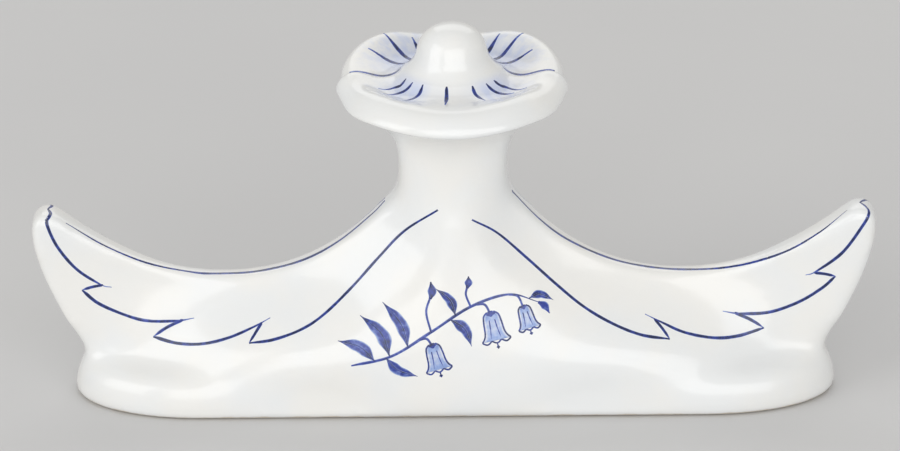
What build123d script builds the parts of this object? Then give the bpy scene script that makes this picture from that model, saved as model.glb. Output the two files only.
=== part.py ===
from build123d import *
from math import asin, copysign, cos, degrees, exp, radians, sin
import os

# Porcelain double knife rest: a saddle-shaped body with two cradles, and a blossom knob.
# X runs along the rest, Y from front to back, Z up. The origin is under the middle of the foot.
# All sizes are in millimetres and all angles in degrees.

# Plinth
plinth_length = 116.2
plinth_depth = 24.4
plinth_height = 6.5
plinth_end = 19.5  # length of the half ellipse at each end
plinth_top_round = 3.0
plinth_foot_round = 1.2
foot_rim = 4.0
foot_recess = 0.8

# Saddle, seen from the front
horn_reach = 64.0  # from the middle to the outermost point of a horn
horn_height = 30.2
horn_tip_radius = 2.5
horn_lip_angle = 36.0  # slope of the cradle where it reaches the horn
horn_fullness = 7.0  # how far the outer curve follows its two end directions
prow_reach = 56.2  # half length where the horns rise from the plinth
prow_lean = 27.0  # lean of the horns there, from upright
cradle_place = 34.0  # from the middle to the lowest point of a cradle
cradle_height = 19.4
cradle_width = 20.0  # nearly level stretch at the bottom of a cradle
cradle_rise = 12.0  # nearly straight stretch below a horn
shoulder_rise = 10.0  # nearly straight stretch below the neck
shoulder_angle = 51.0
neck_width = 16.4
neck_foot = 34.7  # height where the shoulders have turned upright
neck_corner = 3.6  # radius between shoulder and neck
neck_top = 42.9
flare_rise = 2.6  # height of the flare below the neck's top
flare_radius = 3.4
saddle_root = 1.0  # height inside the plinth where the saddle starts
rim_round = 0.9  # rounding along the cradles, horns and neck

# Saddle, seen from the side
belly_swell = 0.3  # how far the belly stands out from the plinth
neck_depth = 14.4
neck_lip_depth = 15.2
horn_depth = 6.8
rim_depth = 2.2  # depth that the thin rim would have at the middle of the body
rim_keenness = 3.0  # how late the rim widens towards the horns

# Ends of the saddle's swelling: inwards from the prow or the cradle, outwards from the neck
root_inset = 6.4
belly_inset = 11.0
flank_inset = 18.2
cradle_inset = 15.0
shoulder_outset = 2.6
neck_outset = 1.0
neck_lip_outset = 1.4

# Blossom
calyx_height = 4.4
calyx_radius = 12.8
calyx_overhang = 0.05  # how far the collar stands out from the neck
spigot_radius = 4.5
spigot_length = 5.0
blossom_radius = 17.4
petal_root = 3.8  # thickness under the dome
petal_foot_radius = 7.4  # where a petal meets the dome
petal_foot_rise = 1.0  # height of that place above the petal's root
petal_foot_slope = 44.0
trough_radius = 10.6
trough_depth = 0.9
crest_radius = 16.0
crest_rise = 2.55  # height of a back petal's crest above its root
lip_drop = 2.8  # how far a front petal's lip hangs below the top of its root
lip_draw = 0.5  # how far the lip's lower edge draws in
edge_fullness = 0.45  # share of the way from the lip up to the crest where a petal is widest
dome_slope = 52.0  # of the flared foot, where it meets the petals
dome_flare = 1.2  # how far the flared foot follows its two end directions
dome_waist_radius = 5.4
dome_waist_height = 4.0
dome_lean = 9.0  # lean of the dome's side at its waist, from upright
dome_fullness = 2.6  # how far the side follows that lean
dome_crown = 3.4  # how far the crown stays nearly level from its top
dome_height = 8.4
peg_radius = 3.5
peg_length = 3.0  # below the petals

# Clearances
socket_clearance = 0.1
seam = 0.02  # between neighbouring petals

os.makedirs("parts", exist_ok=True)


def direction(angle):
    """Unit vector at an angle from the X axis of its own plane."""
    return Vector(cos(radians(angle)), sin(radians(angle)))


def between(low, high, share):
    """Value at a share of the way from one value to another."""
    return low + (high - low) * share


# The depth of the saddle at rising heights: a swelling in the middle of a thin rim. Each row has
# the height, the depth in the middle, how far the swelling spreads along the body from the middle
# and how sharply it ends there.
belly_depth = plinth_depth + 2 * belly_swell
neck_side = neck_width / 2
swellings = [
    (
        saddle_root,
        belly_depth,
        prow_reach - root_inset,
        9.0,
    ),
    (
        between(plinth_height, cradle_height, 0.05),
        belly_depth,
        prow_reach - belly_inset,
        7.0,
    ),
    (
        between(plinth_height, cradle_height, 0.52),
        between(belly_depth, neck_depth, 0.22),
        prow_reach - flank_inset,
        3.3,
    ),
    (
        cradle_height,
        between(belly_depth, neck_depth, 0.47),
        cradle_place - cradle_inset,
        2.3,
    ),
    (
        between(cradle_height, neck_foot, 0.47),
        between(belly_depth, neck_depth, 0.735),
        neck_side + shoulder_outset,
        2.2,
    ),
    (
        neck_foot,
        neck_depth,
        neck_side + neck_outset,
        2.8,
    ),
    (
        neck_top + rim_round / 2,
        neck_lip_depth,
        neck_side + neck_lip_outset,
        3.0,
    ),
]
station_shares = [0.0, 0.075, 0.15, 0.24, 0.37, 0.51, 0.61, 0.7, 0.79, 0.88, 1.0]


def flank(depth, spread, sharpness):
    """Points of the saddle's front at one height, from its left end to its right."""
    half = []
    for share in station_shares:
        x = share * (horn_reach + rim_round)
        rim = between(rim_depth, horn_depth, (x / horn_reach) ** rim_keenness) / 2
        half.append((x, -rim - (depth / 2 - rim) * exp(-((x / spread) ** sharpness))))
    return [(-x, y) for x, y in reversed(half[1:])] + half


def slab(inset):
    """Outline with half-elliptic ends, drawn inside the plinth's edge."""
    straight = plinth_length / 2 - plinth_end
    with BuildSketch() as outline:
        with Locations((-straight, 0), (straight, 0)):
            Ellipse(plinth_end - inset, plinth_depth / 2 - inset)
        Rectangle(2 * straight, plinth_depth - 2 * inset)
    return outline.sketch


# Plinth: a low rounded slab
with BuildPart() as plinth:
    extrude(slab(0), amount=plinth_height)
    fillet(plinth.faces().sort_by(Axis.Z)[-1].edges(), plinth_top_round)
    fillet(plinth.faces().sort_by(Axis.Z)[0].edges(), plinth_foot_round)

# Saddle body: its depth is lofted, then cut to its outline in the front view
tip = Vector(horn_reach - horn_tip_radius, horn_height - horn_tip_radius)
horn_side = tip + Vector(horn_tip_radius, 0)
horn_lip = tip + direction(90 + horn_lip_angle) * horn_tip_radius
prow = Vector(prow_reach, plinth_height)
prow_way = direction(90 - prow_lean)
root = prow - prow_way * ((plinth_height - saddle_root) / prow_way.Y)
cradle = Vector(cradle_place, cradle_height)
corner = Vector(neck_side + neck_corner, neck_foot)
corner_turn = 90 - shoulder_angle
shoulder = corner + direction(180 + corner_turn) * neck_corner
neck_waist = neck_top - flare_rise
flare_turn = degrees(asin(flare_rise / flare_radius))

with BuildPart() as saddle_body:
    for height, depth, spread, sharpness in swellings:
        with BuildSketch(Plane.XY.offset(height)):
            with BuildLine():
                front = flank(depth, spread, sharpness)
                Spline(front)
                mirror(about=Plane.XZ)
                for x, y in (front[0], front[-1]):
                    Line((x, y), (x, -y))
            make_face()
    loft()

    with BuildSketch(Plane.XZ.offset(-belly_depth)):
        with BuildLine():
            Line((0, saddle_root), root)
            Line(root, prow)
            Bezier(
                prow,
                prow + prow_way * horn_fullness,
                horn_side - Vector(0, horn_fullness),
                horn_side,
            )
            CenterArc(tip, horn_tip_radius, 0, 90 + horn_lip_angle)
            Bezier(
                horn_lip,
                horn_lip - direction(horn_lip_angle) * cradle_rise,
                cradle + Vector(cradle_width / 2, 0),
                cradle,
            )
            Bezier(
                cradle,
                cradle - Vector(cradle_width / 2, 0),
                shoulder - direction(180 - shoulder_angle) * shoulder_rise,
                shoulder,
            )
            CenterArc(corner, neck_corner, 180 + corner_turn, -corner_turn)
            Line((neck_side, neck_foot), (neck_side, neck_waist))
            flare = CenterArc((neck_side + flare_radius, neck_waist), flare_radius, 180, -flare_turn)
            Line(flare @ 1, (0, neck_top))
            mirror(about=Plane.YZ)
        make_face()
    extrude(amount=2 * belly_depth, dir=(0, -1, 0), mode=Mode.INTERSECT)
    rim_edges = saddle_body.edges().filter_by(Axis.Y, reverse=True)
    rim_edges = rim_edges.filter_by_position(Axis.Z, saddle_root, neck_top, (False, False))
    fillet(rim_edges, rim_round)

    add(plinth.part)
    extrude(slab(foot_rim), amount=foot_recess, mode=Mode.SUBTRACT)
    with Locations((0, 0, neck_top)):
        Hole(spigot_radius + socket_clearance, spigot_length + socket_clearance)

saddle_body.part.label = "saddle_body"
export_step(saddle_body.part, "parts/saddle_body.step")

# Calyx: a trumpet-shaped collar, oval where it meets the neck and round under the petals. Each row
# has the share of its rise, the shares of its spread to the sides and to the front, and how full the
# corners of the oval are.
calyx_rings = [
    (0.0, 0.0, 0.0, 2.7),
    (0.3, 0.42, 0.05, 2.6),
    (0.65, 0.82, 0.32, 2.3),
    (1.0, 1.0, 1.0, 2.0),
]
ring_points = 24
calyx_side = (flare @ 1).X + calyx_overhang
calyx_front = neck_lip_depth / 2 + calyx_overhang
seat = neck_top + calyx_height


def squared(share, fullness):
    """A cosine or sine drawn outwards, so that a ring of them has fuller corners."""
    return copysign(abs(share) ** (2 / fullness), share)


with BuildPart() as calyx:
    for rise, side_spread, front_spread, fullness in calyx_rings:
        half_length = between(calyx_side, calyx_radius, side_spread)
        half_depth = between(calyx_front, calyx_radius, front_spread)
        ring = []
        for point in range(ring_points):
            way = direction(360 * point / ring_points)
            ring.append((half_length * squared(way.X, fullness), half_depth * squared(way.Y, fullness)))
        with BuildSketch(Plane.XY.offset(neck_top + calyx_height * rise)):
            with BuildLine():
                Spline(ring, periodic=True)
            make_face()
    loft()
    with BuildSketch(Plane.XY.offset(neck_top - spigot_length)):
        Circle(spigot_radius)
    extrude(amount=spigot_length)
    with Locations((0, 0, seat)):
        Hole(peg_radius + socket_clearance, peg_length + socket_clearance)

calyx.part.label = "calyx"
export_step(calyx.part, "parts/calyx.step")

# Petals: lofted round the dome from radial sections, ten degrees apart from the crease at the side to
# the middle of the front or the back. Each row has shares of the crest's radius and rise, of the outer
# edge's radius, of the trough's depth and of the front lip's drop.
front_folds = [
    (0.950, 0.22, 0.950, 0.05, 0.55),
    (0.955, 0.33, 0.990, 0.25, 0.75),
    (0.915, 0.16, 0.982, 0.80, 0.92),
    (0.870, 0.17, 0.992, 1.00, 1.00),
    (0.850, 0.19, 1.000, 0.90, 1.00),
    (0.835, 0.15, 1.000, 0.70, 1.00),
    (0.820, 0.10, 1.000, 0.45, 1.06),
    (0.805, 0.05, 0.993, 0.25, 1.15),
    (0.795, 0.02, 0.989, 0.15, 1.22),
    (0.790, 0.01, 0.989, 0.12, 1.24),
]
back_folds = [
    (0.950, 0.22, 0.950, 0.05, 0.55),
    (0.980, 0.38, 0.970, 0.10, 0.45),
    (0.998, 0.60, 0.984, 0.12, 0.30),
    (1.000, 0.82, 0.994, 0.12, 0.16),
    (0.995, 0.96, 1.000, 0.12, 0.08),
    (0.985, 0.98, 1.000, 0.12, 0.08),
    (0.972, 0.84, 1.000, 0.12, 0.16),
    (0.955, 0.60, 0.998, 0.10, 0.30),
    (0.950, 0.44, 0.998, 0.10, 0.42),
    (0.950, 0.38, 0.998, 0.10, 0.48),
]
floor = seat + petal_root
seam_angle = degrees(seam / 2 / crest_radius)
hole_radius = peg_radius + socket_clearance
petals = {
    "front": (180, 180, front_folds + front_folds[-2::-1]),
    "back_right": (0, 90, back_folds),
    "back_left": (90, 90, back_folds[::-1]),
}

for place, (start, sweep, folds) in petals.items():
    step = (sweep - 2 * seam_angle) / (len(folds) - 1)
    with BuildPart() as petal:
        for row, (crest, rise, edge, trough, drop) in enumerate(folds):
            way = direction(start + seam_angle + step * row)
            crest_height = crest_rise * rise
            edge_radius = blossom_radius * edge
            lip = -lip_drop * drop
            with BuildSketch(Plane((0, 0, floor), x_dir=way, z_dir=way.cross(Vector(0, 0, 1)))):
                with BuildLine():
                    Polyline(
                        (edge_radius - lip_draw, lip),
                        (calyx_radius, -petal_root),
                        (hole_radius, -petal_root),
                        (hole_radius, petal_foot_rise),
                        (petal_foot_radius, petal_foot_rise),
                    )
                    Spline(
                        (petal_foot_radius, petal_foot_rise),
                        (trough_radius, -trough_depth * trough),
                        (crest_radius * crest, crest_height),
                        (edge_radius, between(lip, crest_height, edge_fullness)),
                        (edge_radius - lip_draw, lip),
                        tangents=[direction(-petal_foot_slope), (-1, -0.2)],
                    )
                make_face()
        loft()
    petal.part.label = f"petal_{place}"
    export_step(petal.part, f"parts/petal_{place}.step")

# Dome: a bell with a flared foot, pegged through the petals into the calyx
dome_foot = Vector(petal_foot_radius, floor + petal_foot_rise)
dome_foot_way = direction(180 - dome_slope)
dome_waist = Vector(dome_waist_radius, floor + dome_waist_height)
dome_way = direction(90 + dome_lean)
dome_top = Vector(0, floor + dome_height)

with BuildPart() as blossom_dome:
    with BuildSketch(Plane.XZ):
        with BuildLine():
            Polyline(dome_foot, (0, dome_foot.Y), dome_top)
            Bezier(
                dome_foot,
                dome_foot + dome_foot_way * dome_flare,
                dome_waist - dome_way * dome_flare,
                dome_waist,
            )
            Bezier(
                dome_waist,
                dome_waist + dome_way * dome_fullness,
                dome_top + Vector(dome_crown, 0),
                dome_top,
            )
        make_face()
    revolve()
    with BuildSketch(Plane.XY.offset(dome_foot.Y)):
        Circle(peg_radius)
    extrude(amount=-(petal_foot_rise + petal_root + peg_length))

blossom_dome.part.label = "blossom_dome"
export_step(blossom_dome.part, "parts/blossom_dome.step")
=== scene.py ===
import math

import bmesh
import bpy
import numpy as np
from mathutils import Matrix, Vector, noise
from mathutils.bvhtree import BVHTree


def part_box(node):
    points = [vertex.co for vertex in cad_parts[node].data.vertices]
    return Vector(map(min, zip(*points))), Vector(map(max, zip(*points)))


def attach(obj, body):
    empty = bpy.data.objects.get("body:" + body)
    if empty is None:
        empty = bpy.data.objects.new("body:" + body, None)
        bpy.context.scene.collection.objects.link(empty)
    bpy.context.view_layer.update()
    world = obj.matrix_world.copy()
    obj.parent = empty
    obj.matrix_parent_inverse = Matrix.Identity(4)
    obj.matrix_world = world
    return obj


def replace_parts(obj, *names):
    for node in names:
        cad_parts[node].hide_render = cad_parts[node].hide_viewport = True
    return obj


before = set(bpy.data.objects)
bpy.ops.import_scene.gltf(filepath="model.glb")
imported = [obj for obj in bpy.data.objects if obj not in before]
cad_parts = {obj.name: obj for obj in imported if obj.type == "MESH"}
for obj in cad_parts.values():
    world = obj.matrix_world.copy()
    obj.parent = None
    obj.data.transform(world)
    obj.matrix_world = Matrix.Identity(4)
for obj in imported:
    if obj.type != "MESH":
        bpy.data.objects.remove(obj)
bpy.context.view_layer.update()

scene = bpy.context.scene
scene.view_settings.view_transform = "Standard"
MM = 0.001


# Camera: nearly square to the painted front, looking down on it.

AZIMUTH, ELEVATION, ROLL = (math.radians(angle) for angle in (0.398, 23.0, 0.624))
DISTANCE = 0.788
TARGET = Vector((-0.00055, 0.0, 0.02679))
SENSOR_WIDTH, LENS = 36.0, 207.6  # mm
CLIP_END = 20.0

ahead = Vector((-math.sin(AZIMUTH) * math.cos(ELEVATION),
                math.cos(AZIMUTH) * math.cos(ELEVATION), -math.sin(ELEVATION)))
level = Vector((math.cos(AZIMUTH), math.sin(AZIMUTH), 0.0))
above = level.cross(ahead)
right = level * math.cos(ROLL) - above * math.sin(ROLL)
up = level * math.sin(ROLL) + above * math.cos(ROLL)
turned = Matrix((right, up, -ahead)).transposed().to_4x4()
camera = bpy.data.objects.new("camera", bpy.data.cameras.new("camera"))
camera.data.sensor_width = SENSOR_WIDTH
camera.data.lens = LENS
camera.data.clip_end = CLIP_END
camera.matrix_world = Matrix.Translation(TARGET - ahead * DISTANCE) @ turned
scene.collection.objects.link(camera)
scene.camera = camera


# Materials

MIX_SHARE, MIX_FIRST, MIX_SECOND, MIX_COLOUR = 0, 6, 7, 2  # sockets of a Mix node that mixes colours


class Shader:
    """A node material under construction."""

    def __init__(self, name):
        self.material = bpy.data.materials.new(name)
        self.material.use_nodes = True
        self.tree = self.material.node_tree
        self.surface = self.tree.nodes["Principled BSDF"]
        self.place = self.add("ShaderNodeTexCoord").outputs["Object"]

    def add(self, kind, inputs=None, **settings):
        node = self.tree.nodes.new(kind)
        for key, value in settings.items():
            setattr(node, key, value)
        for key, value in (inputs or {}).items():
            self.feed(node.inputs[key], value)
        return node

    def feed(self, socket, value):
        """Links a socket to another one, or sets its value."""
        if isinstance(value, bpy.types.NodeSocket):
            self.tree.links.new(value, socket)
        else:
            socket.default_value = value

    def math(self, operation, a, b=0.0, c=0.0):
        return self.add("ShaderNodeMath", {0: a, 1: b, 2: c}, operation=operation).outputs[0]

    def noise(self, scale, detail=2.0, place=None):
        inputs = {"Vector": place or self.place, "Scale": scale, "Detail": detail}
        return self.add("ShaderNodeTexNoise", inputs).outputs["Fac"]

    def between(self, value, low, high, out_low=0.0, out_high=1.0):
        """A smooth change from out_low to out_high while the value goes from low to high."""
        inputs = {"Value": value, "From Min": low, "From Max": high, "To Min": out_low, "To Max": out_high}
        return self.add("ShaderNodeMapRange", inputs, interpolation_type="SMOOTHSTEP").outputs["Result"]

    def mix(self, share, first, second):
        node = self.add("ShaderNodeMix", data_type="RGBA")
        for socket, value in ((MIX_SHARE, share), (MIX_FIRST, first), (MIX_SECOND, second)):
            self.feed(node.inputs[socket], value)
        return node.outputs[MIX_COLOUR]

    def ramp(self, value, stops):
        """The colour at a value, from stops of a place and a colour."""
        node = self.add("ShaderNodeValToRGB", {"Fac": value})
        elements = node.color_ramp.elements
        for element, (place, colour) in zip(elements, (stops[0], stops[-1])):
            element.position, element.color = place, colour
        for place, colour in stops[1:-1]:
            elements.new(place).color = colour
        return node.outputs[0]

    def axis(self, name):
        return self.add("ShaderNodeSeparateXYZ", {0: self.place}).outputs[name]


WARM_WHITE = (0.85, 0.845, 0.82, 1.0)
COOL_WHITE = (0.82, 0.835, 0.84, 1.0)
BISQUE = (0.72, 0.66, 0.56, 1.0)
DARK_BISQUE = (0.58, 0.52, 0.43, 1.0)

# Noise scales of the glaze and the paint, per metre.
CLOUDS, GLOSS_PATCHES, SWELLS, PORES = 70.0, 160.0, 120.0, 900.0
GLAZE_LINE, GRIT, PAINT_GRAIN = 400.0, 3500.0, 1300.0
GLAZE_START = (0.3 * MM, 0.7 * MM)  # heights over the table between which the glaze sets in
GLAZE_WANDER = 0.15 * MM  # how far its edge wanders up and down
GLAZE_ROUGHNESS = (0.16, 0.26)
BARE_ROUGHNESS = 0.8
PORE_SHARE = 0.12  # depth of the pores as a share of the swells'
BUMP = {"Strength": 0.12, "Distance": 0.6 * MM}
COAT = {"Coat Weight": 0.4, "Coat Roughness": 0.1}

WASH_BLUE = (0.48, 0.57, 0.86, 1.0)
WASH_INNER = (6.4 * MM, 8.4 * MM)  # radii between which the wash sets in
WASH_OUTER = (6.5 * MM, 13.0 * MM)  # radii between which it fades out
WASH_TOP = (49.5 * MM, 50.1 * MM)  # heights between which it sets in, over the petals' white underside
WASH_RAGGED = 3.0 * MM  # how much further out it runs in streaks
WASH_BACK = 2.2 * MM  # how much further out it runs on the back petals
WASH_BACK_FROM = 4.0 * MM  # how far behind the middle that is so in full
WASH_STRENGTH = 0.66
STREAKS, STREAK_LENGTH = 9.0, 60.0  # noise scale of the streaks, and of the radius in it
# How strong the wash is round the blossom, by shares of a turn from its left side over the front.
WASH_ROUND = (
    (0.0, 0.05), (0.05, 0.7), (0.08, 1.0), (0.15, 0.9), (0.19, 0.15), (0.25, 0.05), (0.31, 0.15),
    (0.35, 0.9), (0.42, 1.0), (0.455, 0.6), (0.5, 0.05), (0.55, 0.5), (0.59, 0.9), (0.68, 1.0),
    (0.72, 0.3), (0.75, 0.1), (0.78, 0.3), (0.82, 1.0), (0.91, 0.9), (0.95, 0.5), (1.0, 0.05),
)

# Colours of the cobalt by the paint's thickness.
PAINT_TONES = (
    (0.3, (0.28, 0.39, 0.70, 1.0)),
    (0.68, (0.022, 0.048, 0.33, 1.0)),
    (1.0, (0.008, 0.016, 0.070, 1.0)),
)
PAINT_UNEVEN = 0.2  # share by which the grain changes the thickness
PAINT_COVERS = 0.34  # thickness from which the paint hides the white


def glaze(name):
    """Gloss glaze on white porcelain: faintly clouded, gently uneven, bare on the foot."""
    shader = Shader(name)
    cloud = shader.between(shader.noise(CLOUDS, 3.0), 0.35, 0.65)
    white = shader.mix(cloud, WARM_WHITE, COOL_WHITE)
    wander = shader.between(shader.noise(GLAZE_LINE), 0.3, 0.7, -GLAZE_WANDER, GLAZE_WANDER)
    bare = shader.between(shader.math("ADD", shader.axis("Z"), wander), *GLAZE_START, 1.0, 0.0)
    grit = shader.mix(shader.noise(GRIT, 4.0), BISQUE, DARK_BISQUE)
    shader.colour = shader.mix(bare, white, grit)
    gloss = shader.between(shader.noise(GLOSS_PATCHES, 3.0), 0.3, 0.7, *GLAZE_ROUGHNESS)
    roughness = shader.math("MAXIMUM", gloss, shader.math("MULTIPLY", bare, BARE_ROUGHNESS))
    shader.feed(shader.surface.inputs["Roughness"], roughness)
    pores = shader.math("MULTIPLY", shader.noise(PORES), PORE_SHARE)
    bump = shader.add("ShaderNodeBump", {"Height": shader.math("ADD", shader.noise(SWELLS), pores), **BUMP})
    shader.feed(shader.surface.inputs["Normal"], bump.outputs[0])
    for key, value in COAT.items():
        shader.surface.inputs[key].default_value = value
    return shader


def plain_glaze(name):
    shader = glaze(name)
    shader.feed(shader.surface.inputs["Base Color"], shader.colour)
    return shader.material


def petal_glaze(name):
    """The glaze with a pale blue wash that fades outward from the middle of the blossom."""
    shader = glaze(name)
    flat = shader.add("ShaderNodeVectorMath", {0: shader.place, 1: (1.0, 1.0, 0.0)}, operation="MULTIPLY")
    radius = shader.add("ShaderNodeVectorMath", {0: flat.outputs[0]}, operation="LENGTH").outputs["Value"]
    turn = shader.math("ARCTAN2", shader.axis("Y"), shader.axis("X"))
    outward = shader.math("MULTIPLY", radius, STREAK_LENGTH)
    ray = shader.add("ShaderNodeCombineXYZ", {"X": turn, "Y": outward}).outputs[0]
    streak = shader.between(shader.noise(STREAKS, 3.0, ray), 0.35, 0.7)
    further = shader.between(shader.axis("Y"), 0.0, WASH_BACK_FROM, 0.0, WASH_BACK)
    ragged = shader.math("SUBTRACT", shader.math("MULTIPLY_ADD", streak, -WASH_RAGGED, radius), further)
    fade = shader.math("MULTIPLY", shader.between(radius, *WASH_INNER),
                       shader.between(ragged, *WASH_OUTER, 1.0, 0.0))
    fade = shader.math("MULTIPLY", fade, shader.between(shader.axis("Z"), *WASH_TOP))
    share_of_turn = shader.math("MULTIPLY_ADD", turn, 0.5 / math.pi, 0.5)
    spread = shader.ramp(share_of_turn, [(place, (s, s, s, 1.0)) for place, s in WASH_ROUND])
    wash = shader.math("MULTIPLY", shader.math("MULTIPLY", fade, spread), WASH_STRENGTH)
    shader.feed(shader.surface.inputs["Base Color"], shader.mix(wash, shader.colour, WASH_BLUE))
    return shader.material


def cobalt_paint(name):
    """Cobalt under the glaze, from bare glaze through pale blue to near black by the paint's thickness."""
    shader = glaze(name)
    thickness = shader.add("ShaderNodeAttribute", attribute_name="paint").outputs["Fac"]
    grain = shader.between(shader.noise(PAINT_GRAIN, 3.0), 0.3, 0.7, -PAINT_UNEVEN, PAINT_UNEVEN)
    amount = shader.math("ADD", thickness, shader.math("MULTIPLY", grain, thickness))
    cover = shader.between(amount, 0.0, PAINT_COVERS)
    colour = shader.mix(cover, shader.colour, shader.ramp(amount, PAINT_TONES))
    shader.feed(shader.surface.inputs["Base Color"], colour)
    return shader.material


PORCELAIN = plain_glaze("porcelain")
PETAL = petal_glaze("petal_porcelain")
COBALT = cobalt_paint("cobalt")

for node_name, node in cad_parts.items():
    node.data.materials.clear()
    node.data.materials.append(PETAL if node_name.startswith("petal") else PORCELAIN)


def faces_of(*node_names):
    """The corners and faces of some CAD nodes, taken together."""
    corners, faces = [], []
    for node_name in node_names:
        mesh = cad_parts[node_name].data
        faces += [[len(corners) + i for i in face.vertices] for face in mesh.polygons]
        corners += [vertex.co.copy() for vertex in mesh.vertices]
    return corners, faces


def piece_of(mesh, material):
    """A piece that goes with the part: hung on its root, with the given material."""
    mesh.materials.append(material)
    made = bpy.data.objects.new(mesh.name, mesh)
    scene.collection.objects.link(made)
    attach(made, "root")
    return made


# The glazed skin of the body and the calyx: one surface, softened where the glaze has filled a crease or run
# off an edge, and parted again at the joint of the two.

VOXEL = 0.4 * MM
PASSES, PULL = 90, 0.5  # rounds of softening, and how far a corner goes to its neighbours' mean in each
HORN_SOFTNESS, LEAST_SOFTNESS = 0.3, 0.05
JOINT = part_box("saddle_body")[1][2]


def rising(values, low, high):
    """0 below low and 1 above high, with a smooth rise between."""
    share = np.clip((values - low) / (high - low), 0.0, 1.0)
    return share * share * (3.0 - 2.0 * share)


def softness(places):
    """How far the glaze softens each place: most in the crease over the foot and round the neck. Limits in mm."""
    x, z = np.abs(places[:, 0]) / MM, places[:, 2] / MM
    foot = rising(x, 14.0, 34.0) * rising(z, 1.6, 3.6) * (1.0 - rising(z, 9.0, 14.0))
    horn = HORN_SOFTNESS * rising(x, 48.0, 57.0) * rising(z, 3.0, 6.0)
    neck = (1.0 - rising(x, 11.0, 15.0)) * rising(z, 29.0, 34.0) * (1.0 - rising(z, 45.4, 46.6))
    return np.maximum.reduce([foot, horn, neck, np.full(len(x), LEAST_SOFTNESS)])


def glazed_skin():
    rough = bpy.data.meshes.new("skin")
    corners, faces = faces_of("saddle_body", "calyx")
    rough.from_pydata(corners, [], faces)
    holder = bpy.data.objects.new("skin", rough)
    scene.collection.objects.link(holder)
    voxels = holder.modifiers.new("voxels", "REMESH")
    voxels.mode = "VOXEL"
    voxels.voxel_size = VOXEL
    skin = bpy.data.meshes.new_from_object(holder.evaluated_get(bpy.context.evaluated_depsgraph_get()))
    bpy.data.objects.remove(holder)

    places = np.empty(3 * len(skin.vertices))
    skin.vertices.foreach_get("co", places)
    places = places.reshape(-1, 3)
    edges = np.empty(2 * len(skin.edges), dtype=np.int32)
    skin.edges.foreach_get("vertices", edges)
    near, far = edges.reshape(-1, 2).T
    ends, others = np.concatenate([near, far]), np.concatenate([far, near])
    count = np.bincount(ends, minlength=len(places))
    pull = PULL * softness(places)
    for _ in range(PASSES):
        for axis in range(3):
            mean = np.bincount(ends, places[others, axis], len(places)) / count
            places[:, axis] += pull * (mean - places[:, axis])
    low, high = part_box("saddle_body")
    places[:, 0] *= (high[0] - low[0]) / np.ptp(places[:, 0])
    skin.vertices.foreach_set("co", places.ravel())
    return skin


def part_of_skin(skin, name, node_name, keep_below):
    """The skin on one side of the joint, closed there, in the place of its CAD node."""
    cut = bmesh.new()
    cut.from_mesh(skin)
    parted = bmesh.ops.bisect_plane(
        cut, geom=cut.verts[:] + cut.edges[:] + cut.faces[:], plane_co=(0.0, 0.0, JOINT),
        plane_no=(0.0, 0.0, 1.0), clear_outer=keep_below, clear_inner=not keep_below)
    rim = [edge for edge in parted["geom_cut"] if isinstance(edge, bmesh.types.BMEdge)]
    bmesh.ops.holes_fill(cut, edges=rim)
    for face in cut.faces:
        face.smooth = True
    for edge in rim:
        edge.smooth = False
    bmesh.ops.recalc_face_normals(cut, faces=cut.faces)
    mesh = bpy.data.meshes.new(name)
    cut.to_mesh(mesh)
    cut.free()
    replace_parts(piece_of(mesh, PORCELAIN), node_name)


skin = glazed_skin()
part_of_skin(skin, "glazed_body", "saddle_body", True)
part_of_skin(skin, "glazed_calyx", "calyx", False)


# The dome, with the glaze that has run into the crease round its foot.

PETAL_FACES = faces_of("petal_front", "petal_back_left", "petal_back_right")
PETALS = BVHTree.FromPolygons(*PETAL_FACES)
DOME = BVHTree.FromPolygons(*faces_of("blossom_dome"))
FOOT_RADIUS = 7.4 * MM  # where the dome meets the petals
INSIDE, FURTHER_IN = 0.985 * FOOT_RADIUS, 0.96 * FOOT_RADIUS  # where the slope of its foot is measured
SKIRT_RADIUS = 9.4 * MM  # how far the glaze has run out
FILLET = 0.9 * MM  # difference in height within which dome and petals run together
THINNEST = 0.012 * MM  # below this thickness the glaze ends, and its edge goes into the petals
THINNEST_FROM = 0.5 * MM  # how far out from the dome's foot that is so in full
EDGE_SINK = 0.05 * MM
AROUND, DOME_RINGS, SKIRT_RINGS = 180, 30, 18
OVERHEAD = 0.1  # height from which the blossom is probed
NUDGE = 0.05 * MM  # step aside where a probe falls into a seam
DOWN = Vector((0.0, 0.0, -1.0))


def height_on(surface, radius, angle):
    over = Vector((radius * math.cos(angle), radius * math.sin(angle), OVERHEAD))
    for nudge in (0.0, NUDGE):
        hit = surface.ray_cast(over + Vector((nudge, nudge, 0.0)), DOWN)[0]
        if hit is not None:
            return hit.z
    raise ValueError("nothing below")


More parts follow.
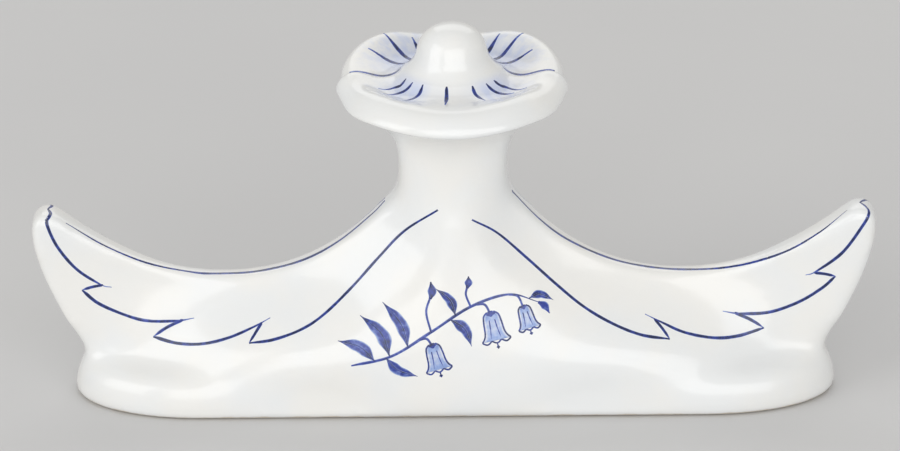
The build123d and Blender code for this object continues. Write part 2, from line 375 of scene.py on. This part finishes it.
def glazed_dome():
    inside = height_on(DOME, INSIDE, 0.0)
    steep = (inside - height_on(DOME, FURTHER_IN, 0.0)) / (INSIDE - FURTHER_IN)
    foot = inside + steep * (FOOT_RADIUS - INSIDE)
    radii = [INSIDE * math.sin(0.5 * math.pi * (i + 1) / DOME_RINGS) for i in range(DOME_RINGS)]
    radii += [FOOT_RADIUS + (SKIRT_RADIUS - FOOT_RADIUS) * i / SKIRT_RINGS for i in range(SKIRT_RINGS + 1)]
    corners = [Vector((0.0, 0.0, height_on(DOME, 0.0, 0.0)))]
    for radius in radii:
        for j in range(AROUND):
            angle = 2.0 * math.pi * j / AROUND
            if radius < FOOT_RADIUS:
                bell, petal = height_on(DOME, radius, angle), foot
            else:
                bell, petal = foot + steep * (radius - FOOT_RADIUS), height_on(PETALS, radius, angle)
            run = max(0.0, FILLET - abs(bell - petal))
            height = max(bell, petal) + run * run / (4.0 * FILLET)
            if radius > FOOT_RADIUS:
                height -= THINNEST * min(1.0, (radius - FOOT_RADIUS) / THINNEST_FROM)
            corners.append(Vector((radius * math.cos(angle), radius * math.sin(angle), height)))
    for corner in corners[-AROUND:]:
        corner.z -= EDGE_SINK
    faces = [(0, 1 + j, 1 + (j + 1) % AROUND) for j in range(AROUND)]
    for i in range(len(radii) - 1):
        near, far = 1 + i * AROUND, 1 + (i + 1) * AROUND
        for j in range(AROUND):
            k = (j + 1) % AROUND
            faces.append((near + j, far + j, far + k, near + k))
    base = len(corners)
    corners.append(Vector((0.0, 0.0, foot)))
    rim = 1 + (len(radii) - 1) * AROUND
    faces += [(base, rim + (j + 1) % AROUND, rim + j) for j in range(AROUND)]
    mesh = bpy.data.meshes.new("glazed_dome")
    mesh.from_pydata(corners, [], faces)
    mesh.shade_smooth()
    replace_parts(piece_of(mesh, PETAL), "blossom_dome")
    return corners, faces


dome_corners, dome_faces = glazed_dome()


# Brush strokes

BODY = BVHTree.FromPolygons([vertex.co for vertex in skin.vertices], [face.vertices for face in skin.polygons])
shift = len(PETAL_FACES[0])
BLOSSOM = BVHTree.FromPolygons(PETAL_FACES[0] + dome_corners,
                               PETAL_FACES[1] + [[shift + i for i in face] for face in dome_faces])
OUTSIDE = 0.2  # distance from which the flanks are probed


def curve_through(points, step):
    """Points about a step apart on a smooth curve through the given ones."""
    knots = [Vector(point) for point in points]
    knots = [2 * knots[0] - knots[1], *knots, 2 * knots[-1] - knots[-2]]
    curve = []
    for a, b, c, d in zip(knots, knots[1:], knots[2:], knots[3:]):
        count = max(2, round((c - b).length / step))
        for i in range(count):
            s = i / count
            curve.append(0.5 * (2 * b + (c - a) * s + (2 * a - 5 * b + 4 * c - d) * s * s
                                + (3 * b - a - 3 * c + d) * s ** 3))
    return [*curve, knots[-2]]


def flank_place(point, side):
    """Where a point drawn on the front (side 1) or the back (side -1) lies on the body."""
    x, t = point[0] * MM, point[1] * MM
    look = Vector((0.0, side * math.cos(ELEVATION), -math.sin(ELEVATION)))
    drawn = Vector((x, side * t * math.sin(ELEVATION), t * math.cos(ELEVATION)))
    hit = BODY.ray_cast(drawn - look * OUTSIDE, look)
    if hit[0] is None:
        hit = BODY.find_nearest(drawn)
    return hit[0]


def petal_place(point):
    """Where a point at this radius and angle lies on top of the blossom."""
    radius, angle = point[0] * MM, math.radians(point[1])
    return Vector((radius * math.cos(angle), radius * math.sin(angle), height_on(BLOSSOM, radius, angle)))


def laid(places, surface, step):
    """A path as it lies on a surface, with no gap longer than a step."""
    path = [places[0]]
    for place in places[1:]:
        start = path[-1]
        count = max(1, math.ceil((place - start).length / (step * MM)))
        path += [surface.find_nearest(start.lerp(place, (k + 1) / count))[0] for k in range(count)]
    return path


def along(profile, s):
    """The value at s of a profile given as places and values."""
    for (a, low), (b, high) in zip(profile, profile[1:]):
        if s <= b:
            share = (s - a) / (b - a)
            return low + (high - low) * share * share * (3 - 2 * share)
    return profile[-1][1]


ACROSS = (-1.0, -0.86, -0.66, -0.35, 0.0, 0.35, 0.66, 0.86, 1.0)
LIFT, SINK = 0.022 * MM, 0.05 * MM  # how far a stroke stands out of the glaze and goes into it
UNDER, OVER = 0.4 * LIFT, 1.3 * LIFT  # for strokes that others cross, and for those that cross them
CROWN = 0.75  # share of the lift that is lost at a stroke's sides
FADE_FROM = 0.5  # share of the half width from which the paint thins out
WAVER, WAVER_SCALE = 0.14, 420.0  # of the width
UNEVEN, UNEVEN_SCALE = 0.12, 260.0  # of the ink
UNEVEN_SHIFT = Vector((3.0, 7.0, 1.0))


class Painting:
    """Brush strokes on one surface, gathered into one piece. Each stroke is a thin closed skin on the glaze."""

    def __init__(self, surface):
        self.surface = surface
        self.corners, self.faces, self.paint = [], [], []

    def stroke(self, path, width, shape, ink, core=1.0, rim=1.0, lift=LIFT):
        """A stroke of a width in mm along points of the surface. Shape and ink are profiles along it, and core
        and rim are shares of the ink in its middle and at its sides."""
        first = len(self.corners)
        ring = len(ACROSS) + 3
        for i, place in enumerate(path):
            s = i / (len(path) - 1)
            run = (path[min(i + 1, len(path) - 1)] - path[max(i - 1, 0)]).normalized()
            normal = self.surface.find_nearest(place)[1]
            aside = normal.cross(run).normalized()
            waver = 1.0 + WAVER * noise.noise(place * WAVER_SCALE)
            half = 0.5 * width * MM * along(shape, s) * waver
            load = along(ink, s) * (1.0 + UNEVEN * noise.noise(place * UNEVEN_SCALE + UNEVEN_SHIFT))
            spots = []
            for j in ACROSS:
                spot, out = self.surface.find_nearest(place + aside * half * j)[:2]
                spots.append((spot, out))
                self.corners.append(spot + out * lift * (1.0 - CROWN * j * j))
                fade = 1.0 - max(0.0, (abs(j) - FADE_FROM) / (1.0 - FADE_FROM)) ** 2
                self.paint.append(load * (core + (rim - core) * abs(j) ** 2) * fade)
            for spot, out in (spots[-1], spots[len(spots) // 2], spots[0]):
                self.corners.append(spot - out * (SINK + lift))
                self.paint.append(0.0)
        for i in range(len(path) - 1):
            near, far = first + i * ring, first + (i + 1) * ring
            for k in range(ring):
                m = (k + 1) % ring
                self.faces.append((near + k, near + m, far + m, far + k))
        self.faces.append(tuple(first + k for k in reversed(range(ring))))
        self.faces.append(tuple(first + (len(path) - 1) * ring + k for k in range(ring)))

    def piece(self, name):
        mesh = bpy.data.meshes.new(name)
        mesh.from_pydata(self.corners, [], self.faces)
        mesh.validate()
        paint = mesh.attributes.new("paint", "FLOAT", "POINT")
        paint.data.foreach_set("value", self.paint)
        mesh.shade_smooth()
        piece_of(mesh, COBALT)


STEP, FINE_STEP, FINEST_STEP = 0.3, 0.2, 0.15  # mm between the points of a path
SLACK = 1.3  # times the step, the longest gap on the surface


def flank_path(points, side, step=STEP):
    return laid([flank_place(point, side) for point in curve_through(points, step)], BODY, SLACK * step)


# Widths along a stroke, as shares of its own
PEN = ((0.0, 0.55), (0.06, 1.0), (0.75, 0.95), (1.0, 0.3))
LONG = ((0.0, 0.55), (0.06, 1.0), (0.7, 0.88), (1.0, 0.6))
EVEN = ((0.0, 0.6), (0.03, 1.0), (0.97, 1.0), (1.0, 0.6))
RIM = ((0.0, 0.3), (0.1, 0.55), (0.3, 0.8), (0.5, 1.4), (0.8, 1.6), (1.0, 1.3))
LEAF = ((0.0, 0.12), (0.35, 1.0), (0.6, 0.85), (1.0, 0.06))
BUD = ((0.0, 0.35), (0.45, 1.0), (1.0, 0.15))
VEIN = ((0.0, 0.4), (0.1, 0.95), (0.5, 1.0), (1.0, 0.4))

# Ink along a stroke
FULL = ((0.0, 0.95), (1.0, 0.9))
SPENT = ((0.0, 0.95), (0.8, 0.9), (1.0, 0.5))
STEM_INK = ((0.0, 0.7), (1.0, 0.85))
STALK_INK = ((0.0, 0.75), (1.0, 0.75))
LEAF_INK = ((0.0, 0.98), (0.5, 0.80), (1.0, 1.0))
LEAF_RIB_INK = ((0.0, 0.98), (1.0, 0.9))
BELL_INK = ((0.0, 0.5), (0.4, 0.26), (1.0, 0.36))
BELL_CAP_INK = ((0.0, 0.9), (1.0, 0.8))
BELL_RIB_INK = ((0.0, 0.8), (1.0, 0.6))
VEIN_INK = ((0.0, 0.95), (0.7, 0.9), (1.0, 0.55))

# Ink in the middle and at the sides of a broad stroke
LEAF_CORE, LEAF_SIDES = 0.85, 1.15
BELL_CORE, BELL_SIDES = 0.8, 1.3

# Widths in mm
LINE_WIDTH = 0.55
STEM_WIDTH, STALK_WIDTH, LEAF_RIB_WIDTH, BELL_LINE_WIDTH = 0.5, 0.38, 0.26, 0.3
# The crease lines are cobalt lines drawn broader than the veins, so they also give painted shade in the creases
# between the petals.
VEIN_BACK_WIDTH, VEIN_FRONT_WIDTH, CREASE_AND_SHADE_WIDTH = 0.85, 0.64, 1.05

# The feathered line along each side, as strokes with a spur where the next one starts. A point is the place
# along the rest and the height as seen from the front, in mm.
FEATHER_LEFT = (
    ((-61.5, 27.66), (-61.0, 27.0), (-61.2, 26.4), (-61.5, 25.4), (-60.1, 22.0), (-57.3, 18.5), (-53.7, 16.1),
     (-52.1, 15.7)),
    ((-53.4, 16.05), (-55.1, 15.75), (-56.6, 15.3)),
    ((-56.6, 15.3), (-54.1, 13.2), (-49.8, 11.3), (-46.5, 10.5), (-42.2, 10.5), (-39.6, 10.9)),
    ((-41.3, 10.65), (-43.8, 9.5), (-45.9, 8.1)),
    ((-45.9, 8.1), (-42.2, 7.1), (-38.3, 7.0), (-34.3, 7.9), (-30.5, 9.5), (-27.9, 10.9)),
    ((-29.2, 10.2), (-30.1, 8.7), (-31.1, 7.1)),
    ((-31.1, 7.1), (-27.4, 7.6), (-23.2, 9.1), (-19.8, 11.3), (-15.6, 15.3), (-11.3, 20.0), (-7.4, 23.9),
     (-2.3, 27.0)),
)
FEATHER_RIGHT = (
    ((61.6, 27.66), (62.4, 27.0), (62.8, 26.0), (61.7, 23.9), (58.8, 20.0), (54.9, 17.2), (53.4, 16.7)),
    ((54.7, 17.05), (56.3, 16.85), (57.9, 16.5)),
    ((57.9, 16.5), (55.9, 14.7), (52.4, 12.6), (48.0, 11.1), (43.5, 10.9), (40.8, 11.3)),
    ((42.6, 11.05), (45.0, 10.0), (47.1, 8.7)),
    ((47.1, 8.7), (43.0, 7.5), (39.2, 7.3), (34.8, 8.2), (31.3, 9.8), (28.9, 11.0)),
    ((30.3, 10.3), (31.5, 8.8), (32.6, 7.2)),
    ((32.6, 7.2), (28.2, 7.9), (23.8, 9.7), (19.5, 12.3), (15.3, 15.8), (10.9, 19.8), (6.6, 23.5), (2.8, 25.5)),
)
RIM_LEFT = (
    (-58.7, 25.5), (-53.1, 22.1), (-46.8, 19.4), (-40.5, 18.0), (-36.3, 17.65), (-29.9, 17.95), (-23.3, 19.5),
    (-17.7, 22.3), (-12.5, 26.4), (-10.4, 28.5),
)
RIM_RIGHT = (
    (59.6, 26.5), (55.3, 23.1), (50.1, 20.2), (43.6, 18.3), (37.1, 17.7), (30.6, 18.0), (24.0, 19.4),
    (17.5, 22.3), (13.1, 25.5), (8.9, 29.8),
)
RIM_DROP_BACK = 0.9  # how much lower the rim lines are drawn on the back, where they are seen from behind
SIDES = ((1, "front"), (-1, "back"))

for side, face in SIDES:
    feather = Painting(BODY)
    for line in FEATHER_LEFT + FEATHER_RIGHT:
        last = line in (FEATHER_LEFT[-1], FEATHER_RIGHT[-1])
        feather.stroke(flank_path(line, side), LINE_WIDTH, LONG if last else PEN, FULL if last else SPENT)
    feather.piece("feather_line_" + face)
    rims = Painting(BODY)
    for line in (RIM_LEFT, RIM_RIGHT):
        if side == -1:
            line = [(x, t - RIM_DROP_BACK) for x, t in line]
        rims.stroke(flank_path(line, side), LINE_WIDTH, RIM, FULL)
    rims.piece("rim_lines_" + face)

# The spray between the feathered lines: an arching stem with hanging bells, narrow leaves and buds. Bells are
# given by the middle of their top and mouth and a width, leaves and buds by a path and a width.
STEM = ((-15.6, 3.6), (-9.5, 5.0), (-3.5, 8.6), (2.5, 12.4), (8.3, 14.2), (12.8, 13.0))
STALKS = (
    ((-5.4, 7.4), (-4.2, 7.6), (-3.4, 6.6)),
    ((3.2, 12.7), (4.6, 12.7), (5.4, 11.4)),
    ((8.0, 14.2), (9.6, 13.9), (10.4, 12.3)),
    ((-3.5, 8.6), (-4.2, 11.6), (-3.6, 13.8)),
    ((2.5, 12.4), (1.8, 14.2), (2.0, 15.4)),
)
BELLS = (
    ((-3.4, 6.8), (-2.3, 2.9), 3.3),
    ((5.4, 11.6), (6.4, 7.3), 3.6),
    ((10.4, 12.5), (11.4, 9.1), 2.8),
)
LEAVES = (
    (((-12.0, 4.2), (-14.2, 6.4), (-17.6, 7.4)), 2.0),
    (((-9.8, 5.0), (-11.0, 8.4), (-14.2, 11.2)), 2.2),
    (((-7.0, 6.3), (-8.0, 9.8), (-10.8, 13.2)), 2.0),
    (((-10.4, 4.8), (-8.6, 2.9), (-5.6, 1.9)), 1.7),
    (((0.2, 11.1), (-0.6, 13.4), (-2.8, 15.2)), 1.5),
    (((-0.6, 10.5), (1.6, 9.0), (2.6, 6.4)), 1.8),
    (((11.3, 13.6), (13.0, 14.2), (15.0, 13.3)), 1.3),
)
BUDS = (
    (((-3.6, 13.6), (-3.3, 14.8), (-3.5, 16.2)), 1.5),
    (((2.0, 15.2), (2.2, 16.0), (2.2, 17.0)), 1.3),
    (((12.7, 13.0), (13.7, 12.4), (14.4, 11.3)), 1.4),
)

# A bell, as shares of its length down from the top and of its width out from the middle
BELL_SIDE = ((0.0, 0.14), (0.12, 0.31), (0.35, 0.37), (0.7, 0.41), (0.88, 0.49), (1.0, 0.62))
BELL_MOUTH = BELL_SIDE[-1][1]
BELL = tuple((s, half / BELL_MOUTH) for s, half in BELL_SIDE)
BELL_AXIS = ((0.0, 0.0), (0.5, 0.0), (1.0, 0.0))
BELL_CAP, BELL_CAP_WIDTH = ((-0.03, 0.0), (0.08, 0.0), (0.17, 0.0)), 0.56
BELL_RIB = ((0.28, 0.12), (0.6, 0.15), (0.92, 0.21))
BELL_LOBES, LOBE_HALF, LOBE_DOWN = (-0.413, 0.0, 0.413), 0.207, 1.09
STYLE, STYLE_TIP = ((1.08, 0.0), (1.2, 0.0)), ((1.18, 0.0), (1.24, 0.0), (1.3, 0.0))
FINER, TIP_BROADER = 0.8, 2.2  # widths of the ribs and the style, and of its tip, as shares of a bell's lines


def draw_bell(painting, side, top, mouth, width):
    """A hanging bell: a pale wash inside drawn sides, two ribs, a lobed mouth, a dark cap and a style."""
    top, run = Vector(top), Vector(mouth) - Vector(top)
    aside = Vector((-run.y, run.x)).normalized() * width
    pen, fine = BELL_LINE_WIDTH, FINER * BELL_LINE_WIDTH

    def line(places, hand=1):
        drawn = [tuple(top + run * down + aside * (hand * out)) for down, out in places]
        return flank_path(drawn, side, FINEST_STEP)

    painting.stroke(line(BELL_AXIS), 2.0 * BELL_MOUTH * width, BELL, BELL_INK, BELL_CORE, BELL_SIDES, UNDER)
    painting.stroke(line(BELL_CAP), BELL_CAP_WIDTH * width, BUD, BELL_CAP_INK)
    for hand in (-1, 1):
        painting.stroke(line(BELL_SIDE, hand), pen, EVEN, FULL, lift=OVER)
        painting.stroke(line(BELL_RIB, hand), fine, PEN, BELL_RIB_INK, lift=OVER)
    for middle in BELL_LOBES:
        lobe = ((1.0, middle - LOBE_HALF), (LOBE_DOWN, middle), (1.0, middle + LOBE_HALF))
        painting.stroke(line(lobe), pen, EVEN, FULL, lift=OVER)
    painting.stroke(line(STYLE), fine, EVEN, FULL)
    painting.stroke(line(STYLE_TIP), TIP_BROADER * pen, BUD, FULL)


for side, face in SIDES:
    spray = Painting(BODY)
    spray.stroke(flank_path(STEM, side), STEM_WIDTH, PEN, STEM_INK)
    for line in STALKS:
        spray.stroke(flank_path(line, side, FINE_STEP), STALK_WIDTH, EVEN, STALK_INK)
    for line, width in LEAVES:
        path = flank_path(line, side, FINE_STEP)
        spray.stroke(path, width, LEAF, LEAF_INK, LEAF_CORE, LEAF_SIDES, UNDER)
        spray.stroke(path, LEAF_RIB_WIDTH, PEN, LEAF_RIB_INK, lift=OVER)
    for top, mouth, width in BELLS:
        draw_bell(spray, side, top, mouth, width)
    for line, width in BUDS:
        spray.stroke(flank_path(line, side, FINEST_STEP), width, BUD, LEAF_INK, LEAF_CORE, LEAF_SIDES)
    spray.piece("spray_" + face)

# Veins on the petals, as places by radius in mm and angle in degrees round the blossom.
VEINS_BACK = (
    ((8.4, 116.0), (11.0, 116.0), (13.9, 116.0)),
    ((8.1, 128.0), (10.5, 130.0), (13.4, 132.0), (15.6, 132.0)),
    ((7.8, 141.0), (10.4, 145.0), (12.1, 148.0), (14.5, 151.0)),
    ((7.8, 39.0), (10.3, 34.0), (12.2, 31.0), (13.9, 29.0)),
    ((8.1, 51.0), (10.5, 48.0), (12.7, 47.0), (15.6, 46.0)),
    ((8.4, 62.0), (11.5, 61.0), (14.5, 60.0)),
)
VEINS_FRONT = (
    ((7.6, 206.0), (8.5, 206.0), (9.4, 201.0), (11.6, 198.0)),
    ((7.6, 220.0), (8.6, 218.0), (9.8, 211.0), (11.4, 206.0)),
    ((7.5, 235.0), (8.7, 236.0), (9.8, 233.0), (11.1, 227.0)),
    ((7.4, 264.0), (9.3, 265.0), (11.4, 265.0)),
    ((7.5, 294.0), (8.6, 294.0), (10.2, 299.0)),
    ((7.6, 312.0), (8.5, 315.0), (9.3, 321.0), (10.4, 333.0)),
    ((7.6, 325.0), (8.4, 329.0), (9.3, 336.0), (11.8, 341.0)),
)
# Cobalt lines along the creases between the front and the back petals, drawn broad enough to give painted shade
# in the creases as well.
CREASES = (
    ((7.8, 168.0), (8.8, 173.0), (10.5, 177.0), (13.2, 178.2), (15.4, 178.4)),
    ((7.8, 12.0), (8.8, 7.0), (10.5, 3.0), (13.2, 1.8), (15.4, 1.6)),
)
VEIN_GAP = 0.4  # longest gap in mm between a vein's points on the surface

veins = Painting(BLOSSOM)
for lines, width in ((VEINS_BACK, VEIN_BACK_WIDTH), (VEINS_FRONT, VEIN_FRONT_WIDTH), (CREASES, CREASE_AND_SHADE_WIDTH)):
    for line in lines:
        path = laid([petal_place(point) for point in curve_through(line, STEP)], BLOSSOM, VEIN_GAP)
        veins.stroke(path, width, VEIN, VEIN_INK)
veins.piece("petal_veins")


# Stage

FLOOR_TONES = ((0.64, 0.64, 0.645, 1.0), (0.67, 0.67, 0.67, 1.0))
FLOOR_PATCHES = 6.0  # noise scale, per metre
FLOOR_ROUGHNESS = 0.85
FLOOR_HALF = 4.0
MIDDLE = Vector((0.0, 0.0, 0.025))
SURROUND, SURROUND_STRENGTH = (0.80, 0.79, 0.77, 1.0), 0.72


def floor_material():
    shader = Shader("floor")
    tone = shader.between(shader.noise(FLOOR_PATCHES, 3.0), 0.3, 0.7)
    shader.feed(shader.surface.inputs["Base Color"], shader.mix(tone, *FLOOR_TONES))
    shader.surface.inputs["Roughness"].default_value = FLOOR_ROUGHNESS
    return shader.material


floor_mesh = bpy.data.meshes.new("floor")
floor_corners = [(FLOOR_HALF * x, FLOOR_HALF * y, 0.0) for x, y in ((-1, -1), (1, -1), (1, 1), (-1, 1))]
floor_mesh.from_pydata(floor_corners, [], [(0, 1, 2, 3)])
floor_mesh.materials.append(floor_material())
floor = bpy.data.objects.new("floor", floor_mesh)
scene.collection.objects.link(floor)


def softbox(name, place, size, power):
    """A soft lamp of a size in m and a power in W, aimed at the part."""
    lamp = bpy.data.lights.new(name, "AREA")
    lamp.shape = "RECTANGLE"
    lamp.size, lamp.size_y = size
    lamp.energy = power
    made = bpy.data.objects.new(name, lamp)
    made.location = place
    made.rotation_euler = (MIDDLE - Vector(place)).to_track_quat("-Z", "Y").to_euler()
    scene.collection.objects.link(made)


softbox("key", (0.25, -1.4, 0.55), (1.9, 1.1), 10.5)
softbox("fill", (-1.1, -0.7, 0.6), (1.0, 1.0), 5.0)
softbox("back", (0.1, 1.1, 0.9), (1.4, 0.7), 3.0)

world = bpy.data.worlds.new("studio")
world.use_nodes = True
background = world.node_tree.nodes["Background"]
background.inputs["Color"].default_value = SURROUND
background.inputs["Strength"].default_value = SURROUND_STRENGTH
scene.world = world
